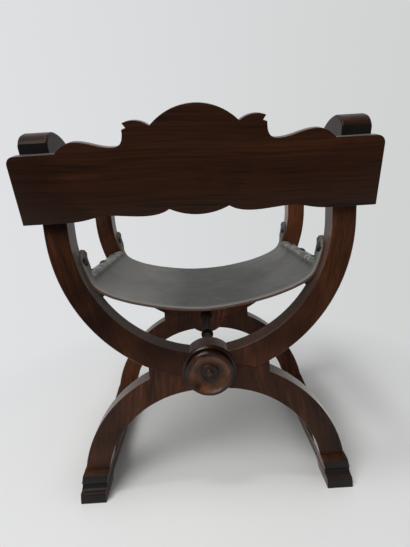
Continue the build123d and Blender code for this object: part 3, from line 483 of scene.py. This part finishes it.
def leather(name, settings):
    """Worn grey hide with a fine pebble, soft creases, clouds of tone, rubbed folds, painted shade and
    highlights.
    """
    maker = Maker(bpy.data.materials.new(name))
    place = maker.place()
    parts = maker.axes(place)
    clouds = maker.noise(place, 9.0, detail=5.0, roughness=0.6)
    scuffs = maker.noise(maker.stretched((0, 0, 0.5), (30, 75, 30)), 1.0, detail=6.0, roughness=0.7)
    knocks = maker.noise(maker.stretched((0, 0, 0), (60, 85, 60)), 1.0, detail=2.0)
    drawn = maker.stretched((0, 0, 0.25), (45, 16, 45))
    creases = maker.noise(drawn, 1.0, detail=5.0, roughness=0.65, distortion=0.8)
    # pale is the scuffs' worn tone and also the rear edge's painted highlight; bright is the rubbed folds'
    # tone with their painted highlight
    pale, bright = times(settings.hide, 1.45), times(settings.hide, 2.2)

    def band(*stops):
        """A band along the fold, from heights over the rail's crest and its strengths there."""
        shown = maker.ramp(parts[2], *((RAIL_CREST + height, strength) for height, strength in stops))
        within = maker.math("LESS_THAN", maker.math("ABSOLUTE", parts[1]), FOLD_HALF_DEPTH - SLIT)
        return maker.math("MULTIPLY", shown, within)

    # painted shade across the sling: none on the sitter's left, where the light falls, darkest in the
    # middle, part dark on the right; the clouds add the hide's own uneven tone
    side_to_side = maker.scaled(parts[0], 2.0, 0.5)
    painted_hollow_shade = maker.ramp(side_to_side, (0.05, 0.30), (0.24, 0.66), (0.42, 1.0), (0.58, 0.85), (0.78, 0.0))
    shaded = maker.math("ADD", maker.scaled(painted_hollow_shade, 0.85), maker.scaled(clouds, 0.6), clamp=True)
    tone = maker.mix(maker.math("SUBTRACT", shaded, 0.18, clamp=True), settings.hide, settings.hide_dark_and_painted_shade)
    tone = maker.mix(maker.ramp(scuffs, (0.54, 0.0), (0.76, 0.38)), tone, pale)
    # painted highlight: the hide turns paler towards its rear edge
    painted_rear_edge_highlight = maker.ramp(maker.scaled(parts[1], 5.0), (0.86, 0.0), (0.95, 0.85))
    tone = maker.mix(painted_rear_edge_highlight, tone, pale)
    # painted shade in the crease under the fold, on the rail's inner side, broken up by the scuffs
    painted_crease_shade = band((-0.0118, 0.0), (-0.0058, 0.9), (-0.0028, 0.9), (0.0012, 0.0))
    broken = maker.ramp(scuffs, (0.36, 0.35), (0.52, 1.0))
    tone = maker.mix(maker.math("MULTIPLY", painted_crease_shade, broken), tone, settings.hide_dark_and_painted_shade)
    # the fold's top over the rail, in its rubbed patches: paler with wear, and brighter still with a
    # painted highlight
    crest = band((-0.0018, 0.0), (0.0022, 1.0), (0.0082, 1.0), (0.0152, 0.0))
    rubbed = maker.ramp(knocks, (0.47, 0.0), (0.56, 0.85))
    tone = maker.mix(maker.math("MULTIPLY", crest, rubbed), tone, bright)
    return maker.finish(
        {
            "Base Color": tone,
            "Roughness": maker.scaled(clouds, 0.22, 0.40),
            "Specular IOR Level": 0.25,
            "Normal": maker.bump(maker.cells(620.0), 0.30, 0.0004, maker.bump(creases, 0.35, 0.0020)),
        }
    )


def cut_leather(name, settings):
    """The fibrous brown of the hide's cut edges."""
    maker = Maker(bpy.data.materials.new(name))
    fibres = maker.noise(maker.stretched((0, 0, 0), (260, 260, 900)), 1.0, detail=4.0)
    return maker.finish(
        {
            "Base Color": maker.ramp(fibres, (0.3, times(settings.raw, 0.4)), (0.7, settings.raw)),
            "Roughness": 0.75,
            "Normal": maker.bump(fibres, 0.4, 0.0005),
        }
    )


def nail_iron(name, settings):
    """Blackened iron, rubbed bright in patches, with shallow hammer marks."""
    maker = Maker(bpy.data.materials.new(name))
    rub = maker.noise(maker.place(), 160.0, detail=4.0)
    return maker.finish(
        {
            "Base Color": maker.ramp(rub, (0.45, settings.iron), (0.75, settings.rubbed)),
            "Roughness": maker.scaled(rub, 0.3, 0.22),
            "Metallic": 0.75,
            "Normal": maker.bump(maker.cells(260.0), 0.35, 0.0012),
        }
    )


# ------------------------------------------------------------------ camera and studio
FLOOR_SIZE = 40
FLOOR_END = 0.95  # the painted floor stops here in Y, under the camera
# Name, place, size and power. The wide lamp hangs behind the camera, and the small one casts the shadows.
LAMPS = (
    ("lamp_key", (1.2, 2.0, 2.7), 1.9, 72),
    ("lamp_overhead", (0.30, 0.45, 2.7), 0.35, 17),
)
LAMPS_AIM = Vector((0, 0, 0.4))


class CHAIR_OT_camera(Operator):
    """Adds the camera behind the chair, a little above its board"""

    bl_idname = "chair.camera"
    bl_label = "Camera"

    def execute(self, context):
        settings = context.scene.chair_studio
        clear_selection()
        bpy.ops.object.camera_add(location=settings.place)
        camera = context.object
        camera.name = "camera"
        camera.data.lens = settings.lens
        camera.data.sensor_width = 36
        ahead = Vector(
            (
                math.sin(settings.yaw) * math.cos(settings.pitch),
                -math.cos(settings.yaw) * math.cos(settings.pitch),
                -math.sin(settings.pitch),
            )
        )
        level = ahead.cross(Vector((0, 0, 1))).normalized()
        over = level.cross(ahead)
        right = math.cos(settings.roll) * level + math.sin(settings.roll) * over
        up = math.cos(settings.roll) * over - math.sin(settings.roll) * level
        turned = Matrix((right, up, -ahead)).transposed().to_4x4()
        camera.matrix_world = Matrix.Translation(settings.place) @ turned
        context.scene.camera = camera
        return {"FINISHED"}


class CHAIR_OT_studio(Operator):
    """Lays the pale floor, paints the world and hangs the soft lamps"""

    bl_idname = "chair.studio"
    bl_label = "Studio"

    def execute(self, context):
        settings = context.scene.chair_studio
        clear_selection()
        middle = (0, FLOOR_END - FLOOR_SIZE / 2, 0)
        bpy.ops.mesh.primitive_plane_add(size=FLOOR_SIZE, location=middle)
        floor = context.object
        bpy.ops.object.transform_apply(location=True, rotation=False, scale=False)
        floor.name = "studio_floor"
        floor.data.materials.append(self.painted_floor(settings))
        self.paint_world(context, settings)
        self.hang_lamps(context)
        context.scene.view_settings.view_transform = "Standard"
        return {"FINISHED"}

    def painted_floor(self, settings):
        """Pale matt paint. Away from the chair the seen floor turns into the wall's colour."""
        maker = Maker(bpy.data.materials.new("painted_floor"))
        stains = maker.noise(maker.place(), 2.2, detail=3.0)
        worn, clean = times(settings.floor, 0.985), times(settings.floor, 1.01)
        material = maker.finish(
            {
                "Base Color": maker.ramp(stains, (0.3, worn), (0.7, clean)),
                "Roughness": 0.9,
                "Specular IOR Level": 0.1,
            }
        )
        parts = maker.axes(maker.place())
        out = maker.distance(parts[0], maker.math("ADD", parts[1], 0.1))
        far = maker.ramp(maker.scaled(out, 0.5), (0.20, 0.0), (0.50, 1.0))
        across = maker.math("DIVIDE", parts[0], maker.math("ADD", out, 0.9))
        glow = maker.node("Emission", {"Color": maker.wall(across, settings), "Strength": 1.0})
        share = maker.math("MULTIPLY", far, maker.seen())
        paint = maker.tree.nodes["Principled BSDF"].outputs[0]
        faded = maker.node("MixShader", {0: share, 1: paint, 2: glow.outputs[0]})
        maker.feed(maker.tree.nodes["Material Output"].inputs["Surface"], faded.outputs[0])
        return material

    def paint_world(self, context, settings):
        """The wall's colour for what is seen, and a plain level of light for what is lit.

        What mirrors the wall sees it pale ahead of the camera and unlit behind it.
        """
        world = bpy.data.worlds.new("studio_world")
        context.scene.world = world
        maker = Maker(world)
        lit = maker.tree.nodes["Background"]
        lit.inputs["Color"].default_value = (1.0, 1.0, 1.0, 1)
        lit.inputs["Strength"].default_value = settings.ambient
        way = maker.axes(maker.node("TexCoord").outputs["Generated"])
        wall = maker.wall(way[0], settings)
        behind = maker.ramp(maker.scaled(way[1], 0.5, 0.5), (0.50, 0.0), (0.72, 1.0))
        mirrored = maker.mix(behind, wall, settings.unlit)
        path = maker.node("LightPath").outputs
        tone = maker.mix(path["Is Glossy Ray"], wall, mirrored)
        shown = maker.node("Background", {"Color": tone, "Strength": 1.0})
        choose = maker.node("MixShader", {0: maker.seen(), 1: lit.outputs[0], 2: shown.outputs[0]})
        maker.feed(maker.tree.nodes["World Output"].inputs["Surface"], choose.outputs[0])

    def hang_lamps(self, context):
        """Square lamps that look at the chair."""
        for name, place, size, power in LAMPS:
            clear_selection()
            bpy.ops.object.light_add(type="AREA", location=place)
            lamp = context.object
            lamp.name = name
            lamp.data.size = size
            lamp.data.energy = power
            lamp.rotation_euler = (LAMPS_AIM - Vector(place)).to_track_quat("-Z", "Y").to_euler()


# ------------------------------------------------------------------ wood
# How much lighter or darker than the stained wood's own tones each member is.
MEMBER_LIFTS = {"rear_left": -0.22, "rear_right": 0.22, "front_left": 0.35, "front_right": 0.95}


class CHAIR_OT_members(Operator):
    """Finishes the S-shaped members and the rails between them"""

    bl_idname = "chair.members"
    bl_label = "Members"

    def execute(self, context):
        settings = context.scene.chair_wood
        for side_name, side in SIDES.items():
            for face_name, face in FACES.items():
                name = f"{face_name}_{side_name}"
                turn = (0.06 * face, -side * math.radians(10), 0.1 * side)
                material = wood(f"waxed_{name}", settings, turn, lift=MEMBER_LIFTS[name])
                dress(NODES[f"{name}_member"], material)
        rail = wood("waxed_rail", settings, (0.1, 0.2, 0), "Y")
        for side_name in SIDES:
            dress(NODES[f"{side_name}_seat_rail"], rail)
        return {"FINISHED"}


class CHAIR_OT_arms(Operator):
    """Finishes the arms, with their rear flats blackened"""

    bl_idname = "chair.arms"
    bl_label = "Arms"

    def execute(self, context):
        settings = context.scene.chair_wood
        material = wood(
            "waxed_arm", settings, (0.05, 0, 0), "Y", lift=-0.5, shine=0.1, sheen=0.08, blacken=arm_flat
        )
        for side_name in SIDES:
            dress(NODES[f"{side_name}_arm"], material)
        return {"FINISHED"}


class CHAIR_OT_runners(Operator):
    """Eases the runners' mouldings and blackens their ends"""

    bl_idname = "chair.runners"
    bl_label = "Runners"

    ease: length("Ease", "How far the mouldings' edges are rounded over", 0.0011)

    def execute(self, context):
        settings = context.scene.chair_wood
        material = wood(
            "waxed_runner", settings, (0, 0.04, 0), "Y", shine=0.1, sheen=0.15, blacken=runner_end
        )
        for side_name in SIDES:
            piece = eased_copy(f"{side_name}_runner", f"{side_name}_moulded_runner", self.ease)
            dress(piece, material)
            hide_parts(f"{side_name}_runner")
            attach(piece, LEG_BODIES[side_name])
        return {"FINISHED"}


class CHAIR_OT_board(Operator):
    """Rounds the back board's edges over and finishes it"""

    bl_idname = "chair.board"
    bl_label = "Back board"

    ease: length("Ease", "How far the board's edges are rounded over", 0.0016)

    def execute(self, context):
        settings = context.scene.chair_wood
        piece = eased_copy("back_board", "shaped_back_board", self.ease, segments=3)
        dress(piece, wood("waxed_board", settings, (0, 0.02, 0), "X", lift=-0.32, even=0.65))
        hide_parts("back_board")
        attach(piece, "back_rest")
        return {"FINISHED"}


class CHAIR_OT_turnings(Operator):
    """Finishes the turned stretcher, the bosses and their buttons"""

    bl_idname = "chair.turnings"
    bl_label = "Turned pieces"

    def execute(self, context):
        settings = context.scene.chair_wood
        dull = wood("waxed_stretcher", settings, along="Y", lift=-0.55, dullness=0.1, shine=0.1, sheen=0.1)
        dress(NODES["pivot_stretcher"], dull)
        polished = turned_wood("turned_and_polished", settings)
        for face_name in FACES:
            dress(NODES[f"{face_name}_roundel"], polished)
            dress(NODES[f"{face_name}_roundel_button"], polished)
        return {"FINISHED"}


class CHAIR_OT_pegs(Operator):
    """Finishes the pegs' end grain"""

    bl_idname = "chair.pegs"
    bl_label = "Pegs"

    def execute(self, context):
        material = wood("peg_end_grain", context.scene.chair_wood, along="X", lift=-0.3, dullness=0.1)
        for side_name in SIDES:
            for kind in ("arm_pegs", "runner_pegs", "board_peg"):
                dress(NODES[f"{side_name}_{kind}"], material)
        return {"FINISHED"}


# ------------------------------------------------------------------ leather sling
DROOP_END = 0.02  # from this far before the parting, the hide hangs no lower at its rear
HUGGED = 0.03  # and from this far before it, the hide can't sink into the wood
TAB_STEPS = 4  # of the hide's grid, across a tab
TAB_ROWS = 14
FOLD_ROWS = 12


def on_arc(radius, angle):
    """Point out and up at an angle below the springing, about the arcs' centre."""
    return ARC_CENTRE + radius * Vector((math.cos(angle), -math.sin(angle)))


def curve_between(start, start_pull, end, end_pull, steps):
    """Points along a curve that leaves and arrives along two pulls."""
    points = []
    for step in range(steps):
        t = step / steps
        points.append(
            (2 * t**3 - 3 * t**2 + 1) * start
            + (t**3 - 2 * t**2 + t) * start_pull
            + (3 * t**2 - 2 * t**3) * end
            + (t**3 - t**2) * end_pull
        )
    return points


def run_length(points):
    """Length of a run of points."""
    return sum((b - a).length for a, b in zip(points, points[1:]))


def at_run(points, run):
    """Place and direction at a run along the points."""
    for a, b in zip(points, points[1:]):
        step = (b - a).length
        if run <= step or b is points[-1]:
            return a + (b - a) * (run / step), (b - a).normalized()
        run -= step


def hide_line(thickness, over_rail):
    """Middle of the hide from the sling's middle outwards: over the rail, or up the arc as a tab.

    Also gives the run at which the two part.
    """
    radius = ARC_RADIUS - WOOD_GAP - thickness / 2
    lift_off = on_arc(radius, LIFT_OFF)
    up = Vector((math.sin(LIFT_OFF), math.cos(LIFT_OFF)))
    points = curve_between(SLING_MIDDLE, Vector((0.25, 0)), lift_off, 0.13 * up, 48)
    for step in range(7):
        points.append(on_arc(radius, LIFT_OFF + (PARTING - LIFT_OFF) * step / 6))
    parting = run_length(points)
    if over_rail:
        corner = on_arc(ARC_RADIUS + RAIL_ROUND, PARTING)
        corner_radius = ARC_RADIUS + RAIL_ROUND - radius
        for step in range(1, 9):
            turn = math.pi - PARTING + (PARTING - RAIL_TOP - math.pi / 2) * step / 8
            points.append(corner + corner_radius * Vector((math.cos(turn), math.sin(turn))))
        outward = Vector((math.cos(RAIL_TOP), -math.sin(RAIL_TOP)))
        points.append(points[-1] + FOLD_RUN * outward)
    else:
        for step in range(1, 25):
            points.append(on_arc(radius, PARTING + (TAB_TOP - PARTING) * step / 24))
    return points, parting


def tab_lift(settings, u, forward):
    """How far a tab stands off the wood, at its shares up and forward."""
    risen = min(1.0, u / 0.5)
    lean = settings.lean * forward * (3 * risen**2 - 2 * risen**3)
    return lean + settings.curl * max(0.0, u - 0.65) ** 2 / 0.12


def uneven(x, y, height):
    """Soft unevenness of the hide at a place: broad waves, and narrow ones half as high."""
    broad = noise.noise(Vector((x * 38, y * 38, 1.7)))
    narrow = noise.noise(Vector((x * 95, y * 95, 5.1)))
    return height * (broad + 0.5 * narrow)


class HalfHide:
    """Where the hide of one side lies. Points are placed by shares along a part, u, and across it, v."""

    def __init__(self, settings, side, columns):
        self.settings = settings
        self.side = side
        self.columns = columns
        self.line, self.parting = hide_line(settings.thickness, True)
        self.tab_line, _ = hide_line(settings.thickness, False)
        self.fold_end = run_length(self.line)
        self.tab_end = run_length(self.tab_line)

    def depth(self, share):
        """Depth in Y at a share of the whole width, on the tabs' and the fold's own columns."""
        column = share * (self.columns + 2 * TAB_STEPS)
        tab_width = HALF_DEPTH - FOLD_HALF_DEPTH
        if column < TAB_STEPS:
            return -HALF_DEPTH + column / TAB_STEPS * tab_width
        if column > self.columns + TAB_STEPS:
            return FOLD_HALF_DEPTH + (column - self.columns - TAB_STEPS) / TAB_STEPS * tab_width
        return FOLD_HALF_DEPTH * (2 * (column - TAB_STEPS) / self.columns - 1)

    def point(self, line, run, y, lift, rough):
        """A point at a run along a line, lifted off it, with its droop and unevenness."""
        place, ahead = at_run(line, run)
        inward = Vector((-ahead.y, ahead.x))
        free = max(0.0, 1 - run / (self.parting - DROOP_END))
        lumps = rough * uneven(place.x * self.side, y, self.settings.lumps) * (1 - 0.4 * free)
        if run > self.parting - HUGGED:
            lumps = max(lumps, -0.0002)
        place += inward * (lift + lumps)
        droop = self.settings.droop * (y / HALF_DEPTH) * free**0.8
        return Vector((self.side * place.x, y, place.y - droop))

    def sling(self, u, v):
        """From the sling's middle to the rail."""
        return self.point(self.line, u * self.parting, self.depth(v), 0.0, 0.55)

    def fold(self, u, v):
        """Over the rail, between the tabs, lumpiest halfway."""
        run = self.parting + u * (self.fold_end - self.parting)
        y = FOLD_HALF_DEPTH * (2 * v - 1)
        return self.point(self.line, run, y, 0.0006 * u, 0.55 + 1.6 * math.sin(math.pi * u))

    def tab(self, face):
        """Up the arc: narrow, round-ended, leaning and standing off the wood at its end."""

        def place(u, v):
            end = self.tab_end - TAB_ROUND * (1 - math.sqrt(1 - 0.96 * (2 * v - 1) ** 2))
            slit = SLIT * min(1, 6 * u)
            y = FOLD_HALF_DEPTH + slit + v * (HALF_DEPTH - FOLD_HALF_DEPTH - slit)
            off = tab_lift(self.settings, u, 1 - v if face > 0 else v)
            return self.point(self.tab_line, self.parting + u * (end - self.parting), face * y, off, 0.8)

        return place


class CHAIR_OT_sling(Operator):
    """Hangs the leather sling as two halves that meet in the middle, each with a fold over its rail
    and two tabs on the arcs"""

    bl_idname = "chair.sling"
    bl_label = "Leather sling"

    rows: IntProperty(name="Rows", description="Steps from the middle to the rail", default=44, min=8)
    columns: IntProperty(name="Columns", description="Steps between the tabs", default=44, min=8)

    def execute(self, context):
        settings = context.scene.chair_leather
        face = leather("worn_hide", settings)
        cut = cut_leather("cut_hide", settings)
        for side_name, side in SIDES.items():
            piece = self.half(settings, side)
            piece.name = f"{side_name}_leather_sling"
            piece.data.materials.append(face)
            piece.data.materials.append(cut)
            finish_with(
                piece,
                "SOLIDIFY",
                thickness=settings.thickness,
                offset=0,
                material_offset_rim=1,
                use_even_offset=True,
            )
            self.round_edges(piece, 0.0009)
            smooth(piece, 50)
            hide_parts("seat_leather")
            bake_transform(piece)
        return {"FINISHED"}

    def half(self, settings, side):
        """The hide of one side, without its thickness."""
        hide = HalfHide(settings, side, self.columns)
        patches = [
            self.patch(self.rows, self.columns + 2 * TAB_STEPS, hide.sling),
            self.patch(FOLD_ROWS, self.columns, hide.fold),
        ]
        for face in FACES.values():
            patches.append(self.patch(TAB_ROWS, TAB_STEPS, hide.tab(face)))
        piece = join(patches)
        bpy.ops.object.mode_set(mode="EDIT")
        bpy.ops.mesh.select_all(action="SELECT")
        bpy.ops.mesh.remove_doubles(threshold=0.0002)
        bpy.ops.mesh.normals_make_consistent(inside=False)
        bpy.ops.object.mode_set(mode="OBJECT")
        return piece

    def patch(self, rows, columns, place):
        """A grid whose points are placed by their shares along and across it."""
        clear_selection()
        bpy.ops.mesh.primitive_grid_add(x_subdivisions=rows, y_subdivisions=columns, size=1)
        grid = bpy.context.object
        for vertex in grid.data.vertices:
            vertex.co = place(vertex.co.x + 0.5, vertex.co.y + 0.5)
        return grid

    def round_edges(self, piece, width):
        """Rounds the hide's cut edges over, but for those where the two halves meet."""
        pick(piece)
        bpy.ops.object.mode_set(mode="EDIT")
        bpy.ops.mesh.select_mode(type="EDGE")
        bpy.ops.mesh.select_all(action="DESELECT")
        bpy.ops.mesh.edges_select_sharp(sharpness=math.radians(50))
        bpy.ops.object.mode_set(mode="OBJECT")
        for edge in piece.data.edges:
            if all(abs(piece.data.vertices[end].co.x) < 0.0005 for end in edge.vertices):
                edge.select = False
        bpy.ops.object.mode_set(mode="EDIT")
        bpy.ops.mesh.bevel(offset=width, segments=2, clamp_overlap=True)
        bpy.ops.object.mode_set(mode="OBJECT")


# ------------------------------------------------------------------ nails
NAIL_SUNK = 0.0012  # how deep a head is pressed into the hide


class CHAIR_OT_nails(Operator):
    """Domes the large nails through the leaning tabs, and finishes the rails' nails"""

    bl_idname = "chair.nails"
    bl_label = "Dome nails"

    radius: length("Radius", "Radius of a tab nail's head", 0.0115)
    height: length("Height", "Height of a tab nail's head", 0.0055)

    def execute(self, context):
        settings = context.scene.chair_leather
        material = nail_iron("blackened_iron", context.scene.chair_metal)
        for side_name, side in SIDES.items():
            piece = join([self.dome(settings, side, face) for face in FACES.values()])
            piece.name = f"{side_name}_tab_domes"
            smooth(piece, 40)
            dress(piece, material)
            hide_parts(f"{side_name}_tab_nails")
            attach(piece, f"{side_name}_side")
            dress(NODES[f"{side_name}_rail_nails"], material)
        return {"FINISHED"}

    def dome(self, settings, side, face):
        """One nail's head, flat underneath, lying on its tab."""
        clear_selection()
        bpy.ops.mesh.primitive_uv_sphere_add(segments=28, ring_count=16, radius=1)
        dome = bpy.context.object
        bpy.ops.object.mode_set(mode="EDIT")
        bpy.ops.mesh.select_all(action="SELECT")
        bpy.ops.mesh.bisect(plane_co=(0, 0, 0.12), plane_no=(0, 0, 1), use_fill=True, clear_inner=True)
        bpy.ops.object.mode_set(mode="OBJECT")
        up_tab = (TAB_NAIL - PARTING) / (TAB_TOP - PARTING)
        off = WOOD_GAP + settings.thickness + tab_lift(settings, up_tab, 0.5) - NAIL_SUNK
        seat = on_arc(ARC_RADIUS - off, TAB_NAIL)
        inward = Vector((-side * math.cos(TAB_NAIL), 0, math.sin(TAB_NAIL)))
        lean = math.atan(settings.lean / (HALF_DEPTH - FOLD_HALF_DEPTH))
        facing = math.cos(lean) * inward + math.sin(lean) * Vector((0, 1, 0))
        turn = facing.to_track_quat("Z", "Y").to_matrix().to_4x4()
        place = Vector((side * seat.x, face * (HALF_DEPTH + FOLD_HALF_DEPTH) / 2, seat.y))
        size = Matrix.Diagonal((self.radius, self.radius, self.height, 1))
        dome.data.transform(Matrix.Translation(place) @ turn @ size)
        return dome


# ------------------------------------------------------------------ panel and registration
STEPS = (
    CHAIR_OT_camera,
    CHAIR_OT_studio,
    CHAIR_OT_members,
    CHAIR_OT_arms,
    CHAIR_OT_runners,
    CHAIR_OT_board,
    CHAIR_OT_turnings,
    CHAIR_OT_pegs,
    CHAIR_OT_sling,
    CHAIR_OT_nails,
)
SETTINGS = {
    "chair_wood": ChairWoodSettings,
    "chair_leather": ChairLeatherSettings,
    "chair_metal": ChairMetalSettings,
    "chair_studio": ChairStudioSettings,
}


class CHAIR_PT_steps(Panel):
    """Lists the chair's steps and settings"""

    bl_idname = "CHAIR_PT_steps"
    bl_label = "Savonarola Chair"
    bl_space_type = "VIEW_3D"
    bl_region_type = "UI"
    bl_category = "Chair"

    def draw(self, context):
        for step in STEPS:
            self.layout.operator(step.bl_idname)
        for name, group in SETTINGS.items():
            box = self.layout.box()
            for key in group.__annotations__:
                box.prop(getattr(context.scene, name), key)


def register():
    for group in SETTINGS.values():
        bpy.utils.register_class(group)
    for name, group in SETTINGS.items():
        setattr(bpy.types.Scene, name, PointerProperty(type=group))
    for step in STEPS:
        bpy.utils.register_class(step)
    bpy.utils.register_class(CHAIR_PT_steps)


def unregister():
    bpy.utils.unregister_class(CHAIR_PT_steps)
    for step in reversed(STEPS):
        bpy.utils.unregister_class(step)
    for name in SETTINGS:
        delattr(bpy.types.Scene, name)
    for group in reversed(SETTINGS.values()):
        bpy.utils.unregister_class(group)


def main():
    """Builds everything in order."""
    register()
    for step in STEPS:
        family, name = step.bl_idname.split(".")
        getattr(getattr(bpy.ops, family), name)()


if __name__ == "__main__":
    main()
